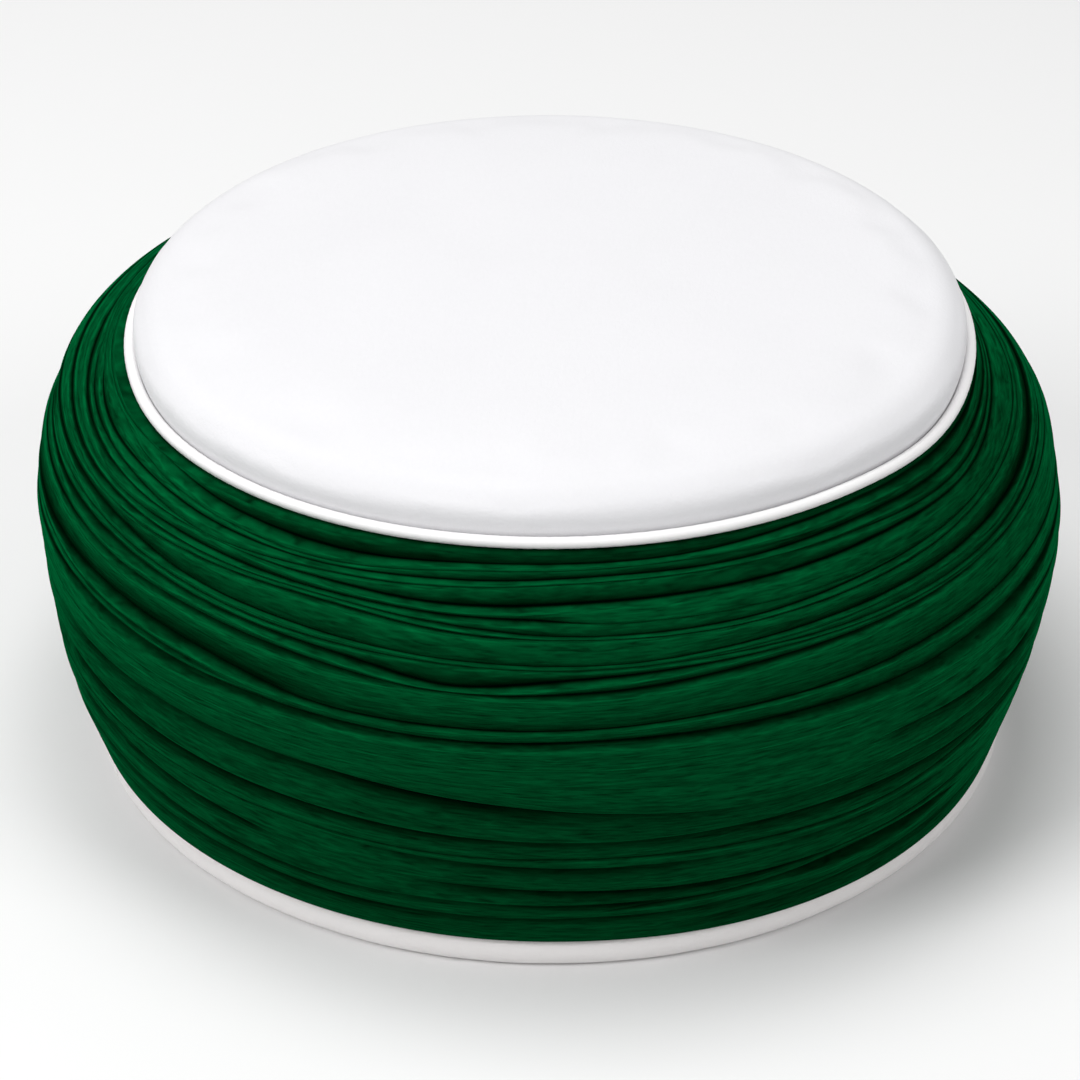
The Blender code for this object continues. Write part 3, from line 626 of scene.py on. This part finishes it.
def grid_faces(rows, columns):
    """Numbers the squares of a closed tube, whose last row joins the first."""
    row = np.arange(rows)[:, None]
    column = np.arange(columns)[None, :]
    below = (row + 1) % rows
    beside = (column + 1) % columns
    corners = [
        row * columns + column,
        below * columns + column,
        below * columns + beside,
        row * columns + beside,
    ]
    return np.stack(corners, axis=-1).reshape(-1, 4)


def put_mesh(name, points, faces, fans=None, across=None, down=None, light=None):
    """Puts points, squares and the triangles of fans into a mesh object.

    The cloth map, if given, holds metres along the winding and metres across it at each corner.
    """
    fans = np.zeros((0, 3), int) if fans is None else fans
    corners = np.concatenate([faces.ravel(), fans.ravel()]).astype(np.int32)
    starts = np.concatenate([np.arange(len(faces)) * 4, faces.size + np.arange(len(fans)) * 3])
    mesh = bpy.data.meshes.new(name)
    mesh.vertices.add(len(points))
    mesh.vertices.foreach_set("co", np.ascontiguousarray(points, np.float32).ravel())
    mesh.loops.add(len(corners))
    mesh.loops.foreach_set("vertex_index", corners)
    mesh.polygons.add(len(starts))
    mesh.polygons.foreach_set("loop_start", starts.astype(np.int32))
    mesh.update(calc_edges=True)
    mesh.polygons.foreach_set("use_smooth", np.ones(len(starts), bool))
    if across is not None:
        cloth_map = mesh.uv_layers.new(name="cloth")
        corners = np.stack([across, down], axis=-1).astype(np.float32)
        cloth_map.data.foreach_set("uv", corners.ravel())
    if light is not None:
        layer = mesh.attributes.new("light", "FLOAT", "POINT")
        layer.data.foreach_set("value", np.ascontiguousarray(light, np.float32).ravel())
    mesh.validate()
    piece = bpy.data.objects.new(name, mesh)
    bpy.context.scene.collection.objects.link(piece)
    return piece


def put_ring(name, radii, heights, angles, runs, light=None):
    """Puts rows of ring points into a closed tube.

    A point at radius R and angle a is (R sin a, -R cos a, height). The cloth map's first value is
    the angle times the mean radius, and its second is the run down the rows.
    """
    rows, columns = radii.shape
    points = np.stack([radii * np.sin(angles), -radii * np.cos(angles), heights], axis=-1)
    faces = grid_faces(rows, columns)
    reach = float(radii.mean())
    left = np.broadcast_to(np.arange(columns) * reach * math.tau / columns, (rows, columns))
    right = left + reach * math.tau / columns
    upper = np.broadcast_to(runs[:, None], (rows, columns))
    lower = np.broadcast_to(np.append(runs[1:], runs[-1])[:, None], (rows, columns))
    across = np.stack([left, left, right, right], axis=-1)
    down = np.stack([upper, lower, lower, upper], axis=-1)
    return put_mesh(name, points.reshape(-1, 3), faces, None, across, down, light)


def put_disc(name, outline, angles, share):
    """Turns an outline into a closed disc: its first and last points lie on the axis.

    A point at radius R and angle a is (R sin a, -R cos a, height), and the two points on the axis
    are each the middle of a fan. Each row takes its share of the course of the crown's edge.
    """
    rows = outline[1:-1]
    columns = len(angles)
    radii = rows[:, :1] + share[1:-1, None] * edge_course("outwards", angles)
    heights = rows[:, 1:] - share[1:-1, None] * edge_course("sag", angles)
    points = np.stack([radii * np.sin(angles), -radii * np.cos(angles), heights], axis=-1)
    poles = np.array([(0.0, 0.0, outline[0, 1]), (0.0, 0.0, outline[-1, 1])])
    faces = grid_faces(len(rows), columns)[: (len(rows) - 1) * columns]
    count = len(rows) * columns
    column = np.arange(columns)
    beside = (column + 1) % columns
    last = count - columns
    upper = np.stack([np.full(columns, count), column, beside], axis=-1)
    lower = np.stack([np.full(columns, count + 1), last + beside, last + column], axis=-1)
    fans = np.concatenate([upper, lower])
    return put_mesh(name, np.concatenate([points.reshape(-1, 3), poles]), faces, fans)


def carried(outline, columns):
    """Repeats the radii and the heights of an outline round the hat."""
    rows = np.repeat(outline[:, :, None], columns, axis=2)
    return rows[:, 0], rows[:, 1]


def ring_angles(columns):
    """Gives evenly spaced angles of one turn, in radians."""
    return np.arange(columns) * math.tau / columns


class Weave:
    """One cloth's material, its shader's inputs, and the ways to add nodes to it."""

    def __init__(self, name, base, roughness):
        self.cloth = bpy.data.materials.new(name)
        self.cloth.use_nodes = True
        self.cloth.diffuse_color = (*base, 1.0)
        self.tree = self.cloth.node_tree
        self.shader = self.tree.nodes["Principled BSDF"].inputs
        self.fill(self.shader, {"Base Color": base, "Roughness": roughness})

    def fill(self, sockets, values):
        """Fills sockets by name or number, each from another socket, a number or numbers."""
        for key, value in values.items():
            if isinstance(value, bpy.types.NodeSocket):
                self.tree.links.new(value, sockets[key])
            elif sockets[key].type == "RGBA":
                sockets[key].default_value = (*value, 1.0)
            else:
                sockets[key].default_value = value

    def add(self, kind, values, **settings):
        """Adds a node with its settings and fills its inputs."""
        node = self.tree.nodes.new("ShaderNode" + kind)
        for name, setting in settings.items():
            setattr(node, name, setting)
        self.fill(node.inputs, values)
        return node

    def noise(self, vector, scale, detail, roughness, distortion=0.0):
        """Adds a noise read at a vector."""
        values = {"Vector": vector, "Scale": scale, "Detail": detail}
        values.update({"Roughness": roughness, "Distortion": distortion})
        return self.add("TexNoise", values).outputs["Fac"]

    def stretched(self, vector, scale):
        """Scales a vector differently along each of its directions."""
        return self.add("Mapping", {"Vector": vector, "Scale": scale}).outputs["Vector"]

    def bump(self, height, strength, distance, before=None):
        """Adds a bump from a height, on top of an earlier bump if there is one."""
        values = {"Height": height, "Strength": strength, "Distance": distance}
        if before is not None:
            values["Normal"] = before
        return self.add("Bump", values).outputs["Normal"]

    def math(self, operation, *values):
        """Joins values, each a socket or a number, by one sum."""
        return self.add("Math", dict(enumerate(values)), operation=operation).outputs[0]

    def mixed(self, factor, first, second):
        """Mixes two colours, each a socket or a colour, by a factor socket."""
        values = {0: factor, 6: first, 7: second}
        return self.add("Mix", values, data_type="RGBA").outputs[2]

    def object_place(self):
        """Gives a point's place in its object."""
        return self.add("TexCoord", {}).outputs["Object"]

    def winding_place(self):
        """Joins where a point is seen from above with how far it lies across the winding.

        A texture that is read there and squeezed along its third value runs along the winding, and
        it meets itself all round.
        """
        parts = self.add("SeparateXYZ", {"Vector": self.object_place()}).outputs
        cloth_map = self.add("UVMap", {}, uv_map="cloth").outputs["UV"]
        across = self.add("SeparateXYZ", {"Vector": cloth_map}).outputs["Y"]
        values = {"X": parts["X"], "Y": parts["Y"], "Z": across}
        return self.add("CombineXYZ", values).outputs["Vector"]


def sash_crepe(colours):
    """Green crepe: fine crinkles, threads and grain along the winding, and painted shade in
    creases.

    The noises and the painted light attribute mix the deep colour with the full one, and a
    painted sheen pales the cloth with the fourth power of how far it faces away from the eye.
    """
    full, deep = tuple(colours.sash), tuple(colours.sash_deep)
    weave = Weave("sash_crepe", full, 0.62)
    source = weave.winding_place()
    shade, bump = -0.30, None
    for along, across, roughness, distortion, share, depth in CREPE:
        place = weave.stretched(source, (along, along, across))
        noise = weave.noise(place, 1.0, 1.0, roughness, distortion)
        shade = weave.math("MULTIPLY_ADD", noise, share, shade)
        bump = weave.bump(noise, 1.0, depth, bump)
    # The light attribute holds the painted light and shade of the folds
    light = weave.add("Attribute", {}, attribute_name="light").outputs["Fac"]
    facing = weave.add("LayerWeight", {"Blend": 0.5}).outputs["Facing"]
    # Painted sheen: the colour pales where the cloth faces away from the eye, towards its outline
    pale = weave.math("MULTIPLY_ADD", weave.math("POWER", facing, 4.0), 1.3, 1.0)
    lit = weave.math("MULTIPLY", weave.math("MULTIPLY", shade, light), pale)
    lit.node.use_clamp = True
    values = {"Base Color": weave.mixed(lit, deep, full), "Specular IOR Level": 0.0, "Normal": bump}
    weave.fill(weave.shader, values)
    return weave.cloth


def white_cloth(name, full):
    """White cloth with a fine brushed nap: two noises on the object's own place."""
    full = tuple(full)
    roughness, grain, strength, sheen = WHITE_CLOTHS[name]
    weave = Weave(name, full, roughness)
    source = weave.object_place()
    nap = weave.noise(weave.stretched(source, (grain, grain * 0.55, grain)), 1.0, 4.0, 0.7)
    cloud = weave.noise(source, 38.0, 2.0, 0.5)
    half = weave.math("MULTIPLY", weave.math("ADD", nap, cloud), 0.5)
    darker = tuple(part * 0.93 for part in full)
    weave.fill(weave.shader, {
        "Base Color": weave.mixed(half, darker, full),
        "Specular IOR Level": 0.25,
        "Sheen Weight": sheen,
        "Sheen Roughness": 0.5,
        "Normal": weave.bump(nap, strength, 0.0003),
    })
    return weave.cloth


def finish_piece(piece, cloth, slot, *nodes):
    """Gives a piece its cloth and its body, and hides the nodes it stands for; its slot is not
    used.
    """
    piece.data.materials.append(cloth)
    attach(piece, "root")
    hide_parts(*nodes)


def stuff_pad(piece, seam, limit):
    """Swells a pad by pressure inside its cloth, holds its seam, and limits how far it moves."""
    group = piece.vertex_groups.new(name="seam")
    group.add(seam, 1.0, "REPLACE")
    cloth = piece.modifiers.new("stuffing", "CLOTH")
    for name, value in STUFFING.items():
        setattr(cloth.settings, name, value)
    cloth.settings.effector_weights.gravity = 0.0
    scene = bpy.context.scene
    for moment in range(1, STUFFING_FRAMES + 1):
        scene.frame_set(moment)
    shaped = piece.evaluated_get(bpy.context.evaluated_depsgraph_get())
    count = len(piece.data.vertices) * 3
    before = np.zeros(count, np.float32)
    after = np.zeros(count, np.float32)
    piece.data.vertices.foreach_get("co", before)
    shaped.data.vertices.foreach_get("co", after)
    piece.modifiers.remove(cloth)
    scene.frame_set(1)
    moved = (after - before).reshape(-1, 3)
    lengths = np.linalg.norm(moved, axis=1, keepdims=True)
    moved = moved * np.minimum(1.0, limit / np.maximum(lengths, 1e-9))
    piece.data.vertices.foreach_set("co", (before.reshape(-1, 3) + moved).ravel())
    piece.data.update()


class TURBAN_OT_crown(bpy.types.Operator):
    """Builds the padded crown"""

    bl_idname = "turban.crown"
    bl_label = "Padded crown"

    def execute(self, context):
        """Turns the crown's outline: a low dome, a round edge, an upright side and a ceiling."""
        cap = context.scene.turban_cap
        radius, height, side, plane = crown_edge(cap)
        foot = plane - cap.crown_band
        top = plane + cap.crown_rise - CROWN_ROOM
        shares = np.linspace(0.0, 0.97, 26)
        dome = np.stack([radius * shares, top - cap.crown_dome * shares ** 2], axis=-1)
        turns = np.radians(np.linspace(90.0, -cap.crown_tuck_angle, 12))
        drop = CROWN_ROOM * np.sin(turns).clip(0.0)
        arc = np.stack([np.cos(turns), np.sin(turns)], axis=-1) * cap.crown_edge_radius
        edge = arc + np.stack([np.full_like(drop, radius), height - drop], axis=-1)
        seat = wall_line(cap, 0.0)[-1, 0] - cap.clearance
        under = [(side + inwards, foot + rise) for inwards, rise in CROWN_FOOT]
        under += [(seat * share, foot + rise) for share, rise in CROWN_CEILING]
        outline = np.concatenate([dome, edge, under])
        upper = len(dome) + len(edge)
        # Only the outer part of the top, and less of the underside, follows the edge's course
        reach = outline[:, 0] / side
        share = np.clip((reach - 0.72) / 0.20, 0.0, 1.0)
        share[upper:] = np.clip((reach[upper:] - 0.9) * 10.0, 0.0, 1.0)
        columns = 160
        piece = put_disc("crown_cushion", outline, ring_angles(columns), eased(share))
        last = len(piece.data.vertices) - 1
        seam = [*range((upper - SEWN_ROWS) * columns, last - 1), last]
        stuff_pad(piece, seam, PAD_LIMIT)
        smooth = piece.modifiers.new("smooth", "SUBSURF")
        smooth.levels = 1
        smooth.render_levels = 1
        cloth = white_cloth("crown_cloth", context.scene.turban_colours.crown)
        finish_piece(piece, cloth, "crown_cloth", "crown_pad")
        return {"FINISHED"}


class TURBAN_OT_piping(bpy.types.Operator):
    """Builds the piping round the crown"""

    bl_idname = "turban.piping"
    bl_label = "Crown piping"

    def execute(self, context):
        """Carries a circle, fuller inwards, round the crown; it tightens at each stitch."""
        cap = context.scene.turban_cap
        reach, height = piping_centre(cap)
        columns = 720
        rows = 18
        angles = ring_angles(columns)
        turns = -ring_angles(rows)[:, None]
        pull = (0.5 + 0.5 * np.cos(angles * STITCHES)) ** 3
        thick = cap.piping_thickness / 2.0 * (1.0 - STITCH_PULL * pull)
        around = np.cos(turns)
        around = np.where(around < 0.0, around * INNER_FILL, around)
        radii = reach + thick * around + edge_course("outwards", angles)
        heights = height + thick * np.sin(turns) - edge_course("sag", angles)
        runs = np.arange(rows) * cap.piping_thickness * math.pi / rows
        piece = put_ring("crown_welt", radii, heights, angles, runs)
        cloth = white_cloth("piping_satin", context.scene.turban_colours.piping)
        finish_piece(piece, cloth, "piping_satin", "crown_piping")
        return {"FINISHED"}


def sash_ceiling(cap):
    """Gives the height that the sash keeps under, which is the underside of the piping."""
    return piping_centre(cap)[1] - cap.piping_thickness / 2.0 - cap.clearance


def sash_lining(cap, levels, first):
    """Gives the rows along the wall behind one length, from the foot up, as radius and height.

    The upper length runs from below its last outer row to under the piping, and the lower length
    from the hem to a little under its first outer row.
    """
    inside = wall_line(cap, cap.wall_thickness + cap.clearance)
    cut = (levels[-1].min() if first == 0 else levels[0].max()) - LINING_REACH
    joint = [[np.interp(cut, inside[:, 1], inside[:, 0]), cut]]
    if first == 0:
        top = [[crown_edge(cap)[2] + 2.0 * cap.clearance, sash_ceiling(cap)]]
        return np.concatenate([joint, inside[inside[:, 1] > cut], top])
    bottom = [[rim_centre(cap)[0] + FOOT_REACH, inside[0, 1] + cap.clearance]]
    return np.concatenate([bottom, inside[inside[:, 1] < cut], joint])


class TURBAN_OT_sash(bpy.types.Operator):
    """Builds the two lengths of the wound sash"""

    bl_idname = "turban.sash"
    bl_label = "Wound sash"

    def execute(self, context):
        """Winds both lengths: pleated rows outside, and rows along the wall inside."""
        cap = context.scene.turban_cap
        sash = context.scene.turban_sash
        cloth = sash_crepe(context.scene.turban_colours)
        columns = 440
        angles = ring_angles(columns)
        length = sash_profile(cap, sash)[4]
        outwards, sag, hang = (edge_course(name, angles) for name in ("outwards", "sag", "hang"))
        spans = {
            "sash_upper_winding": (0, PARTING_FOLD + 1),
            "sash_lower_winding": (PARTING_FOLD + 1, len(FOLDS) + 1),
        }
        for name, (first, last) in spans.items():
            places, heights, light = pleat_rows(cap, sash, angles, first, last)
            if last <= len(FOLDS):
                places, heights, light = places[:-1], heights[:-1], light[:-1]
            radii, levels = sash_surface(cap, sash, places, angles)
            upper_part = np.clip(1.0 - places / COURSE_REACH, 0.0, 1.0) ** 2
            lower_part = np.clip(1.0 - (1.0 - places) / COURSE_REACH, 0.0, 1.0) ** 2
            hollows = bells(HOLLOWS, places, angles) * sash.hollow_depth
            radii = radii + heights - hollows + upper_part * outwards
            levels = np.minimum(levels, sash_ceiling(cap)) - upper_part * sag - lower_part * hang
            lining = sash_lining(cap, levels, first)
            behind = carried(lining, columns)
            radii = np.concatenate([radii, behind[0]])
            levels = np.concatenate([levels, behind[1]])
            if first == 0:
                levels[-1] -= sag
            light = np.concatenate([light, np.ones((len(lining), columns))])
            # Across the cloth, the lining lies a metre beyond the outside
            runs = places.mean(axis=1) * length
            runs = np.concatenate([runs, 1.0 + np.arange(len(lining)) * 0.01])
            piece = put_ring(name, radii, levels, angles, runs, light)
            finish_piece(piece, cloth, "sash_crepe", "wound_sash")
        return {"FINISHED"}


class TURBAN_OT_wall(bpy.types.Operator):
    """Builds the felt wall inside the hat"""

    bl_idname = "turban.wall"
    bl_label = "Cap wall"

    def execute(self, context):
        """Turns the wall's outline, down its outside and up its inside."""
        cap = context.scene.turban_cap
        outside = wall_line(cap, cap.wall_thickness)[::-1]
        outline = np.concatenate([outside, wall_line(cap, 0.0)])
        columns = 256
        runs = np.concatenate([[0.0], np.cumsum(np.hypot(*np.diff(outline, axis=0).T))])
        piece = put_ring("felt_wall", *carried(outline, columns), ring_angles(columns), runs)
        cloth = white_cloth("wall_felt", context.scene.turban_colours.wall)
        finish_piece(piece, cloth, "wall_felt", "cap_wall")
        return {"FINISHED"}


class TURBAN_OT_rim(bpy.types.Operator):
    """Builds the rolled hem"""

    bl_idname = "turban.rim"
    bl_label = "Rolled rim"

    def execute(self, context):
        """Carries a circle, pressed flat below, round the foot; soft waves run along it."""
        cap = context.scene.turban_cap
        reach, height = rim_centre(cap)
        columns = 540
        rows = 28
        angles = ring_angles(columns)
        turns = -ring_angles(rows)[:, None]
        wave = sum(share * np.sin(angles * waves + shift) for waves, shift, share in HEM_WAVES)
        thick = cap.rim_thickness / 2.0 * (1.0 - HEM_WAVE_SIZE * (1.0 + wave))
        radii = reach + thick * np.cos(turns)
        heights = np.maximum(height + thick * np.sin(turns), 0.0)
        runs = np.arange(rows) * cap.rim_thickness * math.pi / rows
        piece = put_ring("rolled_hem", radii, heights, angles, runs)
        cloth = white_cloth("rim_cloth", context.scene.turban_colours.rim)
        finish_piece(piece, cloth, "rim_cloth", "rim_roll")
        return {"FINISHED"}


class TURBAN_OT_stage(bpy.types.Operator):
    """Builds the pale floor, the soft lights and the camera"""

    bl_idname = "turban.stage"
    bl_label = "Stage"

    def execute(self, context):
        """Lays the floor, hangs three soft lights and sets the camera up."""
        scene = context.scene
        scene.view_settings.view_transform = "Standard"
        self.lay_floor(scene)
        for light in LIGHTS:
            self.hang_light(scene, *light)
        world = bpy.data.worlds.new("pale_room")
        world.use_nodes = True
        room = world.node_tree.nodes["Background"].inputs
        room["Color"].default_value = (1.0, 1.0, 1.0, 1.0)
        room["Strength"].default_value = ROOM_STRENGTH
        scene.world = world
        self.set_camera(scene)
        return {"FINISHED"}

    def lay_floor(self, scene):
        """A square of 12 metres in the plane of the rim's underside."""
        corners = np.array([(-1.0, -1.0, 0.0), (1.0, -1.0, 0.0), (1.0, 1.0, 0.0), (-1.0, 1.0, 0.0)])
        floor = put_mesh("pale_floor", corners * 6.0, np.array([[0, 1, 2, 3]]))
        paint = Weave("pale_floor", tuple(scene.turban_colours.floor), 0.9)
        floor.data.materials.append(paint.cloth)

    def hang_light(self, scene, name, place, size, power):
        """A square soft light that faces the middle of the hat."""
        light = bpy.data.lights.new(name, "AREA")
        light.size = size
        light.energy = power
        lamp = bpy.data.objects.new(name, light)
        lamp.location = place
        aim = Vector((0.0, 0.0, 0.05)) - Vector(place)
        lamp.rotation_euler = aim.to_track_quat("-Z", "Y").to_euler()
        scene.collection.objects.link(lamp)

    def set_camera(self, scene):
        """Stands 0.81 m from the middle of the crown's plane, 28.2 degrees up, and looks lower."""
        plane = crown_edge(scene.turban_cap)[3]
        back = CAMERA_DISTANCE * math.cos(CAMERA_RISE)
        rise = CAMERA_DISTANCE * math.sin(CAMERA_RISE)
        centre = Vector((0.0, -back, plane + rise))
        turn = Matrix.Rotation(math.pi / 2.0 - CAMERA_RISE, 3, "X")
        for axis, angle in CAMERA_TURNS:
            turn = turn @ Matrix.Rotation(angle, 3, axis)
        camera_data = bpy.data.cameras.new("camera")
        camera_data.sensor_width = 36.0
        camera_data.lens = FOCAL_PIXELS / 1080.0 * camera_data.sensor_width
        camera = bpy.data.objects.new("camera", camera_data)
        camera.matrix_world = Matrix.Translation(centre) @ turn.to_4x4()
        scene.collection.objects.link(camera)
        scene.camera = camera


class TURBAN_PT_panel(bpy.types.Panel):
    """Lists the pieces of the hat and its stage"""

    bl_label = "Turban Cap"
    bl_idname = "TURBAN_PT_panel"
    bl_space_type = "VIEW_3D"
    bl_region_type = "UI"
    bl_category = "Turban Cap"

    def draw(self, context):
        """Draws a button for each piece, and the sizes and colours."""
        for step in STEPS:
            self.layout.operator(step.bl_idname)
        scene = context.scene
        for group in (scene.turban_cap, scene.turban_sash, scene.turban_colours):
            column = self.layout.column()
            for name in group.bl_rna.properties.keys():
                if name not in ("rna_type", "name"):
                    column.prop(group, name)


STEPS = (
    TURBAN_OT_crown,
    TURBAN_OT_piping,
    TURBAN_OT_sash,
    TURBAN_OT_wall,
    TURBAN_OT_rim,
    TURBAN_OT_stage,
)
CLASSES = (CapSizes, SashSizes, ClothColours, *STEPS, TURBAN_PT_panel)


def register():
    """Adds the classes and the hat's settings to Blender."""
    for item in CLASSES:
        bpy.utils.register_class(item)
    bpy.types.Scene.turban_cap = bpy.props.PointerProperty(type=CapSizes)
    bpy.types.Scene.turban_sash = bpy.props.PointerProperty(type=SashSizes)
    bpy.types.Scene.turban_colours = bpy.props.PointerProperty(type=ClothColours)


def unregister():
    """Takes the classes and the settings away again."""
    del bpy.types.Scene.turban_colours
    del bpy.types.Scene.turban_sash
    del bpy.types.Scene.turban_cap
    for item in reversed(CLASSES):
        bpy.utils.unregister_class(item)


def main():
    """Builds every piece in order."""
    register()
    bpy.ops.turban.crown()
    bpy.ops.turban.piping()
    bpy.ops.turban.sash()
    bpy.ops.turban.wall()
    bpy.ops.turban.rim()
    bpy.ops.turban.stage()
    bpy.context.view_layer.update()


if __name__ == "__main__":
    main()
